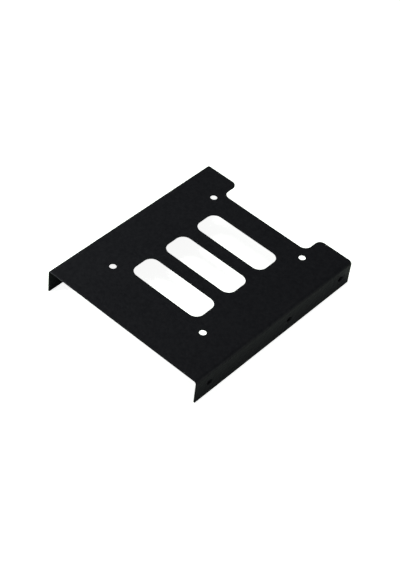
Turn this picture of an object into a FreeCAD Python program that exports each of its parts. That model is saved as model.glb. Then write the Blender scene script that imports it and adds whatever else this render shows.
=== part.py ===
import FreeCAD, Part

# Drive bay adapter bracket: it carries a 2.5 inch drive where a 3.5 inch drive would go.
# It is one piece of steel sheet, blanked, pierced, folded down along both long sides and powder
# coated. Sizes are in millimetres and include the coating.
# The origin lies on the surface that the bracket stands on, midway between its flanges and its ends.
# X points to the right flange, Y to the notched rear edge and Z up.

import math
import os

import Sketcher

NODE = "bracket"
SLOT_COUNT = 3
ROUNDING = 1e-4

SIZES = {
    # Sheet and folds
    "sheet_thickness": 0.8,
    "bend_inner_radius": 1.2,
    "sheet_width": 101.4,
    "flange_height": 15.2,
    # Three tapped holes in each flange, on the pattern in a 3.5 inch drive's side; they set the length
    "bay_hole_span": 101.6,
    "bay_hole_rear_pair": 41.61,
    "bay_hole_front_margin": 10.0,
    "bay_hole_rear_margin": 8.0,
    "bay_hole_height": 7.5,
    "bay_hole_diameter": 3.0,
    "bay_hole_entry_radius": 0.8,
    "collar_wall": 0.55,
    "collar_height": 1.2,
    # Notch in the rear edge for the drive's connectors, and the outline's rounded corners
    "notch_width": 57.6,
    "notch_depth": 11.5,
    "notch_corner_radius": 4.0,
    "ear_corner_radius": 3.5,
    "flange_corner_radius": 0.5,
    # Four clearance holes in the plate, on the pattern in a 2.5 inch drive's underside
    "drive_hole_span_x": 61.72,
    "drive_hole_span_y": 76.6,
    "drive_hole_diameter": 3.8,
    "drive_hole_to_notch": 5.5,
    # Crosswise slots in the plate, a little in front of the middle of the drive holes
    "slot_length": 46.0,
    "slot_width": 16.0,
    "slot_corner_radius": 5.0,
    "slot_pitch": 24.0,
    "slots_forward": 2.3,
    # The press rolls the outline's outer edge round, and deburring breaks the other edges of the blank
    "rolled_edge_radius": 0.2,
    "edge_break": 0.12,
}


class Length:
    """A length: its value now, and the formula that ties it to the size table."""

    def __init__(self, value, formula):
        self.value = value
        self.formula = formula

    def __add__(self, other):
        return Length(self.value + other.value, "%s + %s" % (self.formula, other.formula))

    def __sub__(self, other):
        return self + -other

    def __mul__(self, share):
        return Length(self.value * share, "%g * (%s)" % (share, self.formula))

    def __neg__(self):
        return self * -1


def size(name):
    """The length in the size table that has this name."""
    return Length(SIZES[name], "sizes." + name)


def at_most(wanted, *limits):
    """The wanted length, held to what the walls beside it allow."""
    choices = (wanted,) + limits
    value = min(choice.value for choice in choices)
    return Length(value, "min(%s)" % "; ".join(choice.formula for choice in choices))


SHEET = size("sheet_thickness")
SIDE = size("sheet_width") * 0.5
TOP = size("flange_height")
REAR = (size("bay_hole_front_margin") + size("bay_hole_span") + size("bay_hole_rear_margin")) * 0.5
NOTCH_FLOOR = REAR - size("notch_depth")


def add_size_table(doc):
    """The spreadsheet of driving dimensions, one row each, with the name as the cell's alias."""
    sheet = doc.addObject("Spreadsheet::Sheet", "sizes")
    for row, (name, value) in enumerate(SIZES.items(), start=1):
        sheet.set("A%d" % row, name)
        sheet.set("B%d" % row, str(value))
        sheet.setAlias("B%d" % row, name)
    doc.recompute()


def origin_part(body, role):
    """One of the body's own origin planes or axes."""
    return next(part for part in body.Origin.OriginFeatures if part.Role == role)


def new_sketch(body, name, plane, offset=None):
    """A sketch on one of the body's origin planes, moved along the plane's normal by the offset."""
    sketch = body.newObject("Sketcher::SketchObject", name)
    sketch.AttachmentSupport = (origin_part(body, plane), [""])
    sketch.MapMode = "FlatFace"
    if offset is not None:
        sketch.AttachmentOffset = FreeCAD.Placement(FreeCAD.Vector(0, 0, offset.value), FreeCAD.Rotation())
        sketch.setExpression("AttachmentOffset.Base.z", offset.formula)
    return sketch


def tie(sketch, constraint, length, name):
    """Adds a dimension to a sketch and ties it to the size table."""
    index = sketch.addConstraint(constraint)
    sketch.renameConstraint(index, name)
    sketch.setExpression("Constraints." + name, length.formula)


def place_point(sketch, geometry, point, across, up, name):
    """Dimensions one point of a sketch from its origin; an axis that is given as None is left free."""
    if across is not None:
        level = Sketcher.Constraint("DistanceX", -1, 1, geometry, point, across.value)
        tie(sketch, level, across, name + "_across")
    if up is not None:
        upright = Sketcher.Constraint("DistanceY", -1, 1, geometry, point, up.value)
        tie(sketch, upright, up, name + "_up")


def add_circle(sketch, across, up, diameter, name):
    """A dimensioned circle."""
    centre = FreeCAD.Vector(across.value, up.value, 0)
    circle = Part.Circle(centre, FreeCAD.Vector(0, 0, 1), diameter.value / 2)
    index = sketch.addGeometry(circle, False)
    tie(sketch, Sketcher.Constraint("Diameter", index, diameter.value), diameter, name + "_diameter")
    place_point(sketch, index, 3, across, up, name)


def corner_arc(corner, arriving, leaving, radius):
    """The arc that rounds a corner, and which of its ends meets the side that arrives there."""
    centre = corner - arriving * radius + leaving * radius
    begin = corner - arriving * radius - centre
    finish = corner + leaving * radius - centre
    turns_left = arriving.cross(leaving).z > 0
    if not turns_left:
        begin, finish = finish, begin
    low = math.atan2(begin.y, begin.x)
    high = math.atan2(finish.y, finish.x)
    if high < low:
        high += 2 * math.pi
    circle = Part.Circle(centre, FreeCAD.Vector(0, 0, 1), radius)
    return Part.ArcOfCircle(circle, low, high), 1 if turns_left else 2


def draw_outline(sketch, corners):
    """Draws a closed outline of level and upright sides through the corners, in order.

    A corner is its place across, its place up and its radius or None. Each side keeps its direction,
    meets its arcs smoothly, and has one dimension from the sketch's origin; each arc has its radius.
    """
    count = len(corners)
    points = [FreeCAD.Vector(across.value, up.value, 0) for across, up, _ in corners]
    radii = [radius.value if radius else 0.0 for _, _, radius in corners]
    ways = [(points[(i + 1) % count] - points[i]).normalize() for i in range(count)]
    sides = []
    for i in range(count):
        following = (i + 1) % count
        begin = points[i] + ways[i] * radii[i]
        finish = points[following] - ways[i] * radii[following]
        side = sketch.addGeometry(Part.LineSegment(begin, finish), False)
        is_level = abs(ways[i].x) > abs(ways[i].y)
        sketch.addConstraint(Sketcher.Constraint("Horizontal" if is_level else "Vertical", side))
        sides.append(side)
    for i, (_, _, radius) in enumerate(corners):
        before = sides[i - 1]
        after = sides[i]
        if radius is None:
            sketch.addConstraint(Sketcher.Constraint("Coincident", before, 2, after, 1))
            continue
        arc_shape, near_end = corner_arc(points[i], ways[i - 1], ways[i], radii[i])
        arc = sketch.addGeometry(arc_shape, False)
        sketch.addConstraint(Sketcher.Constraint("Tangent", before, 2, arc, near_end))
        sketch.addConstraint(Sketcher.Constraint("Tangent", arc, 3 - near_end, after, 1))
        tie(sketch, Sketcher.Constraint("Radius", arc, radii[i]), radius, "corner%d_radius" % i)
    for i, (across, up, _) in enumerate(corners):
        is_level = abs(ways[i].x) > abs(ways[i].y)
        if is_level and up.value == 0:
            sketch.addConstraint(Sketcher.Constraint("PointOnObject", sides[i], 1, -1))
        elif is_level:
            place_point(sketch, sides[i], 1, None, up, "side%d" % i)
        else:
            place_point(sketch, sides[i], 1, across, None, "side%d" % i)


def edges_where(shape, wanted):
    """Names of the shape's edges that pass a test."""
    return ["Edge%d" % i for i, edge in enumerate(shape.Edges, start=1) if wanted(edge)]


def fillet(body, name, wanted, radius):
    """Rounds those edges of the body's last feature that pass a test; seams of smooth faces are left out."""
    feature = body.newObject("PartDesign::Fillet", name)
    feature.Base = (feature.BaseFeature, edges_where(feature.BaseFeature.Shape, wanted))
    feature.Radius = radius.value
    feature.setExpression("Radius", radius.formula)
    body.Document.recompute()


def cut_through(body, sketch, name):
    """Cuts a sketch's outlines right through, against the sketch's normal."""
    pocket = body.newObject("PartDesign::Pocket", name)
    pocket.Profile = sketch
    pocket.Type = "ThroughAll"
    body.Document.recompute()
    return pocket


def near(place, length):
    """Whether a place on the solid is at a length, but for rounding."""
    return abs(place - length.value) < ROUNDING


def end_points(edge):
    """Where an edge begins and ends."""
    return [vertex.Point for vertex in edge.Vertexes]


def fold_sheet(body):
    """The folded sheet: a channel section with both bends, drawn along Y."""
    foot = Length(0.0, "0")
    inside = SIDE - SHEET
    underside = TOP - SHEET
    inner_bend = size("bend_inner_radius")
    outer_bend = inner_bend + SHEET
    section = new_sketch(body, "channel_section", "XZ_Plane")
    draw_outline(section, [
        (SIDE, foot, None),
        (SIDE, TOP, outer_bend),
        (-SIDE, TOP, outer_bend),
        (-SIDE, foot, None),
        (-inside, foot, None),
        (-inside, underside, inner_bend),
        (inside, underside, inner_bend),
        (inside, foot, None),
    ])
    length = REAR * 2
    pad = body.newObject("PartDesign::Pad", "folded_sheet")
    pad.Profile = section
    pad.SideType = "Symmetric"
    pad.Length = length.value
    pad.setExpression("Length", length.formula)
    body.Document.recompute()


def cut_notch(body):
    """The notch in the rear edge, with rounded inner corners."""
    half = size("notch_width") * 0.5
    past_edge = REAR + size("notch_depth")
    radius = size("notch_corner_radius")
    sketch = new_sketch(body, "notch_outline", "XY_Plane", TOP)
    draw_outline(sketch, [
        (-half, NOTCH_FLOOR, radius),
        (half, NOTCH_FLOOR, radius),
        (half, past_edge, None),
        (-half, past_edge, None),
    ])
    cut_through(body, sketch, "notch")


def round_outline(body):
    """Rounds the outline's corners at the ears and flanges, then its outer edge all the way round."""
    ear = size("notch_width") * 0.5

    def is_ear_corner(edge):
        return all(near(point.y, REAR) and near(abs(point.x), ear) for point in end_points(edge))

    def is_flange_corner(edge):
        points = end_points(edge)
        at_foot = all(abs(point.z) < ROUNDING and near(abs(point.y), REAR) for point in points)
        return at_foot and points[0].y * points[1].y > 0

    def is_outside(edge):
        return all(near(point.z, TOP) or near(abs(point.x), SIDE) for point in end_points(edge))

    ear_room = (size("notch_depth") - size("notch_corner_radius")) * 0.9
    corner = size("flange_corner_radius")
    fillet(body, "ear_corners", is_ear_corner, at_most(size("ear_corner_radius"), ear_room))
    fillet(body, "flange_corners", is_flange_corner, corner)
    fillet(body, "rolled_edge", is_outside, at_most(size("rolled_edge_radius"), corner * 0.7, SHEET * 0.5))


def pierce_slots(body):
    """Rounded crosswise slots, repeated towards the rear."""
    drive_middle = NOTCH_FLOOR - size("drive_hole_to_notch") - size("drive_hole_span_y") * 0.5
    first = drive_middle - size("slots_forward") - size("slot_pitch") * ((SLOT_COUNT - 1) / 2)
    across = size("slot_length") * 0.5
    along = size("slot_width") * 0.5
    radius = at_most(size("slot_corner_radius"), along * 0.98)
    sketch = new_sketch(body, "slot_outline", "XY_Plane", TOP)
    draw_outline(sketch, [
        (-across, first - along, radius),
        (across, first - along, radius),
        (across, first + along, radius),
        (-across, first + along, radius),
    ])
    slot = cut_through(body, sketch, "front_slot")
    span = size("slot_pitch") * (SLOT_COUNT - 1)
    pattern = body.newObject("PartDesign::LinearPattern", "slots")
    pattern.Originals = [slot]
    pattern.Direction = (origin_part(body, "Y_Axis"), [""])
    pattern.Occurrences = SLOT_COUNT
    pattern.Length = span.value
    pattern.setExpression("Length", span.formula)
    body.Tip = pattern
    body.Document.recompute()


def pierce_drive_holes(body):
    """Four plain holes in the plate for the drive's screws."""
    rear = NOTCH_FLOOR - size("drive_hole_to_notch")
    across = size("drive_hole_span_x") * 0.5
    diameter = size("drive_hole_diameter")
    rows = {"front": rear - size("drive_hole_span_y"), "rear": rear}
    columns = {"left": -across, "right": across}
    sketch = new_sketch(body, "drive_hole_centres", "XY_Plane", TOP)
    for row, up in rows.items():
        for column, place in columns.items():
            add_circle(sketch, place, up, diameter, row + "_" + column)
    body.Document.recompute()
    hole = body.newObject("PartDesign::Hole", "drive_holes")
    hole.Profile = sketch
    hole.DepthType = "ThroughAll"
    hole.Diameter = diameter.value
    hole.setExpression("Diameter", diameter.formula)
    body.Document.recompute()


def break_edges(body):
    """A small chamfer on every edge that is still sharp."""
    width = at_most(size("edge_break"), SHEET * 0.3)
    breaks = body.newObject("PartDesign::Chamfer", "edge_breaks")
    breaks.Base = (breaks.BaseFeature, [""])
    breaks.UseAllEdges = True
    breaks.Size = width.value
    breaks.setExpression("Size", width.formula)
    body.Document.recompute()


def extrude_bay_holes(body):
    """Tapped holes in both flanges, each drawn inwards into a short collar with a smooth entry."""
    rear = REAR - size("bay_hole_rear_margin")
    rows = {
        "front": size("bay_hole_front_margin") - REAR,
        "middle": rear - size("bay_hole_rear_pair"),
        "rear": rear,
    }
    up = size("bay_hole_height")
    bore = size("bay_hole_diameter")
    depth = size("collar_height")
    collar_sketch = new_sketch(body, "collar_outline", "YZ_Plane", SIDE - SHEET)
    for row, along in rows.items():
        add_circle(collar_sketch, along, up, bore + size("collar_wall") * 2, row)
    collars = body.newObject("PartDesign::Pad", "right_collars")
    collars.Profile = collar_sketch
    collars.Reversed = True
    collars.Length = depth.value
    collars.setExpression("Length", depth.formula)
    body.Document.recompute()
    mirrored = body.newObject("PartDesign::Mirrored", "left_collars")
    mirrored.Originals = [collars]
    mirrored.MirrorPlane = (origin_part(body, "YZ_Plane"), [""])
    body.Tip = mirrored
    body.Document.recompute()
    bore_sketch = new_sketch(body, "bay_hole_centres", "YZ_Plane", SIDE)
    for row, along in rows.items():
        add_circle(bore_sketch, along, up, bore, row)
    cut_through(body, bore_sketch, "bay_holes")

    def is_bore_mouth(edge):
        return edge.Curve.TypeId == "Part::GeomCircle" and near(abs(edge.CenterOfMass.x), SIDE)

    entry = at_most(size("bay_hole_entry_radius"), (SHEET + depth) * 0.7)
    fillet(body, "bay_hole_entries", is_bore_mouth, entry)


def check(doc, bodies):
    """Stops if a feature failed or a body isn't one sound solid."""
    for item in doc.Objects:
        if "Invalid" in item.State or "Error" in item.State:
            raise RuntimeError("%s has failed: %s" % (item.Label, item.State))
    for body in bodies:
        shape = body.Shape
        if shape.isNull() or not shape.isValid() or len(shape.Solids) != 1:
            raise RuntimeError("%s isn't one sound solid" % body.Label)


def build():
    """Builds the bracket feature by feature, checks it and writes its solid."""
    doc = FreeCAD.newDocument("drive_bay_adapter_bracket")
    add_size_table(doc)
    body = doc.addObject("PartDesign::Body", NODE)
    body.Label = NODE
    fold_sheet(body)
    cut_notch(body)
    round_outline(body)
    pierce_slots(body)
    pierce_drive_holes(body)
    break_edges(body)
    extrude_bay_holes(body)
    body.Placement = FreeCAD.Placement()
    doc.recompute()
    check(doc, [body])
    os.makedirs("parts", exist_ok=True)
    body.Shape.exportStep("parts/%s.step" % body.Label)
    box = body.Shape.optimalBoundingBox(True, False)
    print("%s: %.2f x %.2f x %.2f mm, volume %.1f mm3, %d faces"
          % (body.Label, box.XLength, box.YLength, box.ZLength, body.Shape.Volume, len(body.Shape.Faces)))


build()
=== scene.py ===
"""The looks of a drive bay adapter bracket: a folded steel sheet in matte black powder coat, in a
white studio."""

import math

import bmesh
import bpy
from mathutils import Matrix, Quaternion, Vector


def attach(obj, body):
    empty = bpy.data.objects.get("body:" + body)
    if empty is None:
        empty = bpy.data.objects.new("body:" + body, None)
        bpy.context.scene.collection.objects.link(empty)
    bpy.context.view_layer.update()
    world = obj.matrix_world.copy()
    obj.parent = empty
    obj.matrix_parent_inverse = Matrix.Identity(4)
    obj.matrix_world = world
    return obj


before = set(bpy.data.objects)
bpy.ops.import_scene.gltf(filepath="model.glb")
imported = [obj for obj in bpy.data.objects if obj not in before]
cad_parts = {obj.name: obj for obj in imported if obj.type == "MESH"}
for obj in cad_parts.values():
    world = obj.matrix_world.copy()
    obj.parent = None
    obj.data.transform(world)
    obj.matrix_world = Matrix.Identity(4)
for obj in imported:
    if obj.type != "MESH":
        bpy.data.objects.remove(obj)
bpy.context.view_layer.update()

MM = 0.001
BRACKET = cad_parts["bracket"]

# The six bay screw holes, in millimetres: one threaded collar each, in both flanges
BAY_HOLE_PLACES_Y = (-49.80, 10.19, 51.80)
BAY_HOLE_HEIGHT = 7.50
BAY_HOLE_RADIUS = 1.50
THREAD_STARTS_AT = 49.90
THREAD_ENDS_AT = 48.70

# 6-32 thread, in millimetres: 32 turns to the inch. Its ends run out into the wall
THREAD_PITCH = 25.4 / 32
THREAD_CREST_RADIUS = 1.39
THREAD_ROOT_WIDTH = 0.56
THREAD_CREST_WIDTH = 0.14
THREAD_SINK = 0.05
THREAD_STEPS_A_TURN = 40
THREAD_RUN_OUT_STEPS = THREAD_STEPS_A_TURN // 5
THREAD_LEAST_GROWTH = 0.02

# The coat's film and the marks under it, in millimetres
PEEL_WAVE = 2.0
PEEL_DEPTH = 0.15
TOOTH_COARSEST = 2.0
TOOTH_DEPTH = 0.12
SPRAY_PASS = 25
TAP_MARK = 0.1
TAP_MARK_DEPTH = 0.01

# How white the floor and the room look beside their own light, to the eye and in a reflection. The
# coat mirrors the floor at a flat angle, and a whiter reflection would turn it grey
FLOOR_WHITE_SEEN = 0.92
FLOOR_WHITE_MIRRORED = 0.05
ROOM_WHITE_SEEN = 1.0
ROOM_WHITE_MIRRORED = 0.25
FLOOR_REACH = 6000 * MM

# Where the photograph was taken from, in the part's own frame: millimetres and degrees
CAMERA_PLACE = (319.05, -422.91, 541.43)
CAMERA_AZIMUTH = 37.045
CAMERA_ELEVATION = 45.569
CAMERA_ROLL = 7.411
CAMERA_LENS = 92.571
CAMERA_SENSOR = 36


def linear(colour):
    """The linear red, green and blue of an sRGB colour that is written as #rrggbb."""
    parts = [int(colour[i:i + 2], 16) / 255 for i in (1, 3, 5)]
    return [c / 12.92 if c <= 0.04045 else ((c + 0.055) / 1.055) ** 2.4 for c in parts]


def add(tree, kind, inputs=(), **settings):
    """Adds a node with its settings. An input is given a value, or the socket that feeds it."""
    node = tree.nodes.new("ShaderNode" + kind)
    for name, value in settings.items():
        setattr(node, name, value)
    for name, value in dict(inputs).items():
        if isinstance(value, bpy.types.NodeSocket):
            tree.links.new(value, node.inputs[name])
        else:
            node.inputs[name].default_value = value
    return node


def empty_material(name):
    """A new material without nodes, and its node tree."""
    material = bpy.data.materials.new(name)
    material.use_nodes = True
    material.node_tree.nodes.clear()
    return material, material.node_tree


def matte_black_powder_coat():
    """Polyester powder, sprayed dry and baked on steel: a deep soft black with a faint blue cast.
    The grains that melted last leave a fine tooth, which spreads every highlight, over the long
    shallow waves of orange peel."""
    material, tree = empty_material("matte_black_powder_coat")
    place = add(tree, "TexCoord").outputs["Object"]
    # Orange peel on a 70 micrometre film: waves about 2 mm across
    peel = add(tree, "TexNoise", {
        "Vector": place, "Scale": 1 / (PEEL_WAVE * MM), "Detail": 2.0, "Roughness": 0.5})
    # The tooth is 0.1 to 0.2 mm across. Four octaves of it start at 2 mm, so that it shows in the
    # picture
    tooth = add(tree, "TexNoise", {
        "Vector": place, "Scale": 1 / (TOOTH_COARSEST * MM), "Detail": 4.0, "Roughness": 0.8})
    # The film is thicker where two passes of the spray gun overlap, every 25 mm or so
    passes = add(tree, "TexNoise", {
        "Vector": place, "Scale": 1 / (SPRAY_PASS * MM), "Detail": 1.0})
    shade = add(tree, "MapRange", {
        "Value": tooth.outputs["Fac"], "From Min": 0.3, "From Max": 0.7,
        "To Min": 0.0, "To Max": 0.7})
    shade = add(tree, "Math", {
        0: passes.outputs["Fac"], 1: 0.3, 2: shade.outputs["Result"]}, operation="MULTIPLY_ADD")
    colour = add(tree, "Mix", {
        "Factor": shade.outputs["Value"],
        "A": (*linear("#0e0f12"), 1), "B": (*linear("#1d1e20"), 1)}, data_type="RGBA")
    roughness = add(tree, "MapRange", {
        "Value": tooth.outputs["Fac"], "From Min": 0.3, "From Max": 0.7,
        "To Min": 0.33, "To Max": 0.45})
    waves = add(tree, "Bump", {
        "Height": peel.outputs["Fac"], "Strength": 1.0, "Distance": PEEL_DEPTH * MM})
    grain = add(tree, "Bump", {
        "Height": tooth.outputs["Fac"], "Strength": 1.0, "Distance": TOOTH_DEPTH * MM,
        "Normal": waves.outputs["Normal"]})
    surface = add(tree, "BsdfPrincipled", {
        "Base Color": colour.outputs["Result"], "Roughness": roughness.outputs["Result"],
        "Normal": grain.outputs["Normal"], "IOR": 1.5, "Specular IOR Level": 0.03})
    add(tree, "OutputMaterial", {"Surface": surface.outputs["BSDF"]})
    return material


def black_coated_thread():
    """The thread was formed before the coating, so a thin smooth film covers it: the crests catch
    a little more light than the flat sheet does."""
    material, tree = empty_material("black_coated_thread")
    place = add(tree, "TexCoord").outputs["Object"]
    # Tool marks from the forming tap, about 0.1 mm apart
    marks = add(tree, "TexNoise", {
        "Vector": place, "Scale": 1 / (TAP_MARK * MM), "Detail": 2.0})
    colour = add(tree, "Mix", {
        "Factor": marks.outputs["Fac"],
        "A": (*linear("#121315"), 1), "B": (*linear("#1d1e20"), 1)}, data_type="RGBA")
    bump = add(tree, "Bump", {
        "Height": marks.outputs["Fac"], "Strength": 0.3, "Distance": TAP_MARK_DEPTH * MM})
    surface = add(tree, "BsdfPrincipled", {
        "Base Color": colour.outputs["Result"], "Roughness": 0.5,
        "Normal": bump.outputs["Normal"], "IOR": 1.5, "Specular IOR Level": 0.3})
    add(tree, "OutputMaterial", {"Surface": surface.outputs["BSDF"]})
    return material


def share_of_white(tree, seen, mirrored):
    """How much white a backdrop adds: one share to the eye, the other to reflections and glass."""
    ray = add(tree, "LightPath")
    bounced = add(tree, "Math", {
        0: ray.outputs["Is Glossy Ray"], 1: ray.outputs["Is Transmission Ray"]},
        operation="MAXIMUM")
    bounced = add(tree, "Math", {0: bounced.outputs["Value"], 1: mirrored}, operation="MULTIPLY")
    white = add(tree, "Math", {
        0: ray.outputs["Is Camera Ray"], 1: seen, 2: bounced.outputs["Value"]},
        operation="MULTIPLY_ADD")
    return white.outputs["Value"]


def white_studio_floor():
    """A sheet of matt white paper, lit from above. The eye sees it as plain white, and the
    bracket's shadow stays on it as a faint grey."""
    material, tree = empty_material("white_studio_floor")
    paper = add(tree, "BsdfDiffuse", {"Color": (*linear("#e6f3e3"), 1)})
    backdrop = add(tree, "Emission", {
        "Color": (1, 1, 1, 1),
        "Strength": share_of_white(tree, FLOOR_WHITE_SEEN, FLOOR_WHITE_MIRRORED)})
    top = add(tree, "AddShader", {0: paper.outputs["BSDF"], 1: backdrop.outputs["Emission"]})
    # From below the floor is clear, so that the underside can be looked at
    side = add(tree, "NewGeometry")
    clear = add(tree, "BsdfTransparent")
    both = add(tree, "MixShader", {
        "Fac": side.outputs["Backfacing"], 1: top.outputs["Shader"], 2: clear.outputs["BSDF"]})
    add(tree, "OutputMaterial", {"Surface": both.outputs["Shader"]})
    return material


def thread_ridge(mesh, centre, direction):
    """One screw thread as a helical ridge. It runs inwards from the mouth of its collar, and its
    foot is sunk in the collar's wall."""
    length = THREAD_STARTS_AT - THREAD_ENDS_AT
    half_root = THREAD_ROOT_WIDTH / 2
    half_crest = THREAD_CREST_WIDTH / 2
    wall = BAY_HOLE_RADIUS + THREAD_SINK
    turns = (length - THREAD_ROOT_WIDTH) / THREAD_PITCH
    steps = round(turns * THREAD_STEPS_A_TURN)
    rings = []
    for step in range(steps + 1):
        angle = 2 * math.pi * step / THREAD_STEPS_A_TURN
        along = half_root + THREAD_PITCH * step / THREAD_STEPS_A_TURN
        grown = min(1, step / THREAD_RUN_OUT_STEPS, (steps - step) / THREAD_RUN_OUT_STEPS)
        crest = wall + (THREAD_CREST_RADIUS - wall) * max(grown, THREAD_LEAST_GROWTH)
        section = ((-half_root, wall), (-half_crest, crest), (half_crest, crest), (half_root, wall))
        ring = []
        for shift, radius in section:
            point = Vector((
                -direction * (along + shift), radius * math.cos(angle), radius * math.sin(angle)))
            ring.append(mesh.verts.new((centre + point) * MM))
        rings.append(ring)
    for ring, next_ring in zip(rings, rings[1:]):
        for i in range(4):
            j = (i + 1) % 4
            mesh.faces.new((ring[i], ring[j], next_ring[j], next_ring[i]))
    mesh.faces.new(rings[0][::-1])
    mesh.faces.new(rings[-1])


def bay_screw_threads(finish):
    """The threads in the six collars, as one piece."""
    mesh = bmesh.new()
    for direction in (-1, 1):
        for y in BAY_HOLE_PLACES_Y:
            centre = Vector((direction * THREAD_STARTS_AT, y, BAY_HOLE_HEIGHT))
            thread_ridge(mesh, centre, direction)
    bmesh.ops.recalc_face_normals(mesh, faces=mesh.faces)
    data = bpy.data.meshes.new("bay_screw_threads")
    mesh.to_mesh(data)
    mesh.free()
    data.materials.append(finish)
    piece = bpy.data.objects.new("bay_screw_threads", data)
    bpy.context.scene.collection.objects.link(piece)
    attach(piece, "root")


def studio_floor():
    """The paper that the bracket stands on."""
    data = bpy.data.meshes.new("studio_floor")
    corners = [
        (x * FLOOR_REACH, y * FLOOR_REACH, 0) for x, y in ((-1, -1), (1, -1), (1, 1), (-1, 1))]
    data.from_pydata(corners, [], [(0, 1, 2, 3)])
    data.materials.append(white_studio_floor())
    floor = bpy.data.objects.new("studio_floor", data)
    bpy.context.scene.collection.objects.link(floor)


def soft_box(name, place, size, watts, mirrored=True):
    """A square lamp behind a diffuser that faces the bracket."""
    lamp = bpy.data.lights.new(name, "AREA")
    lamp.shape = "SQUARE"
    lamp.size = size * MM
    lamp.energy = watts
    holder = bpy.data.objects.new(name, lamp)
    holder.location = Vector(place) * MM
    holder.rotation_mode = "QUATERNION"
    holder.rotation_quaternion = (-holder.location).to_track_quat("-Z", "Y")
    holder.visible_camera = False
    holder.visible_glossy = mirrored
    bpy.context.scene.collection.objects.link(holder)


def studio_light():
    """A broad soft box overhead on the left, one low on the right and two small fills, which light
    the left side and the front edge, in a grey room."""
    soft_box("overhead_soft_box", (-200, -60, 500), 240, 2.20)
    soft_box("right_soft_box", (600, 200, 60), 120, 1.42)
    soft_box("left_fill", (-120, -60, 60), 60, 0.03, mirrored=False)
    soft_box("front_edge_fill", (-100, -120, 16), 20, 0.185, mirrored=False)
    world = bpy.data.worlds.new("studio_room")
    world.use_nodes = True
    tree = world.node_tree
    tree.nodes.clear()
    room = add(tree, "Background", {"Color": (*linear("#595959"), 1), "Strength": 1.0})
    white = add(tree, "Background", {"Color": (1, 1, 1, 1), "Strength": 1.0})
    both = add(tree, "MixShader", {
        "Fac": share_of_white(tree, ROOM_WHITE_SEEN, ROOM_WHITE_MIRRORED),
        1: room.outputs["Background"], 2: white.outputs["Background"]})
    add(tree, "OutputWorld", {"Surface": both.outputs["Shader"]})
    bpy.context.scene.world = world


def photographer():
    """The camera, where the photograph was taken from."""
    data = bpy.data.cameras.new("photographer")
    data.sensor_width = CAMERA_SENSOR
    data.sensor_fit = "AUTO"
    data.lens = CAMERA_LENS
    data.clip_start = 10 * MM
    data.clip_end = 100
    camera = bpy.data.objects.new("photographer", data)
    camera.location = Vector(CAMERA_PLACE) * MM
    azimuth, elevation = math.radians(CAMERA_AZIMUTH), math.radians(CAMERA_ELEVATION)
    looks = Vector((
        -math.sin(azimuth) * math.cos(elevation),
        math.cos(azimuth) * math.cos(elevation),
        -math.sin(elevation)))
    roll = Quaternion((0, 0, 1), math.radians(CAMERA_ROLL))
    camera.rotation_mode = "QUATERNION"
    camera.rotation_quaternion = looks.to_track_quat("-Z", "Y") @ roll
    bpy.context.scene.collection.objects.link(camera)
    bpy.context.scene.camera = camera


photographer()
BRACKET.material_slots["powder_coated_steel"].material = matte_black_powder_coat()
bay_screw_threads(black_coated_thread())
studio_floor()
studio_light()
bpy.context.scene.view_settings.view_transform = "Standard"
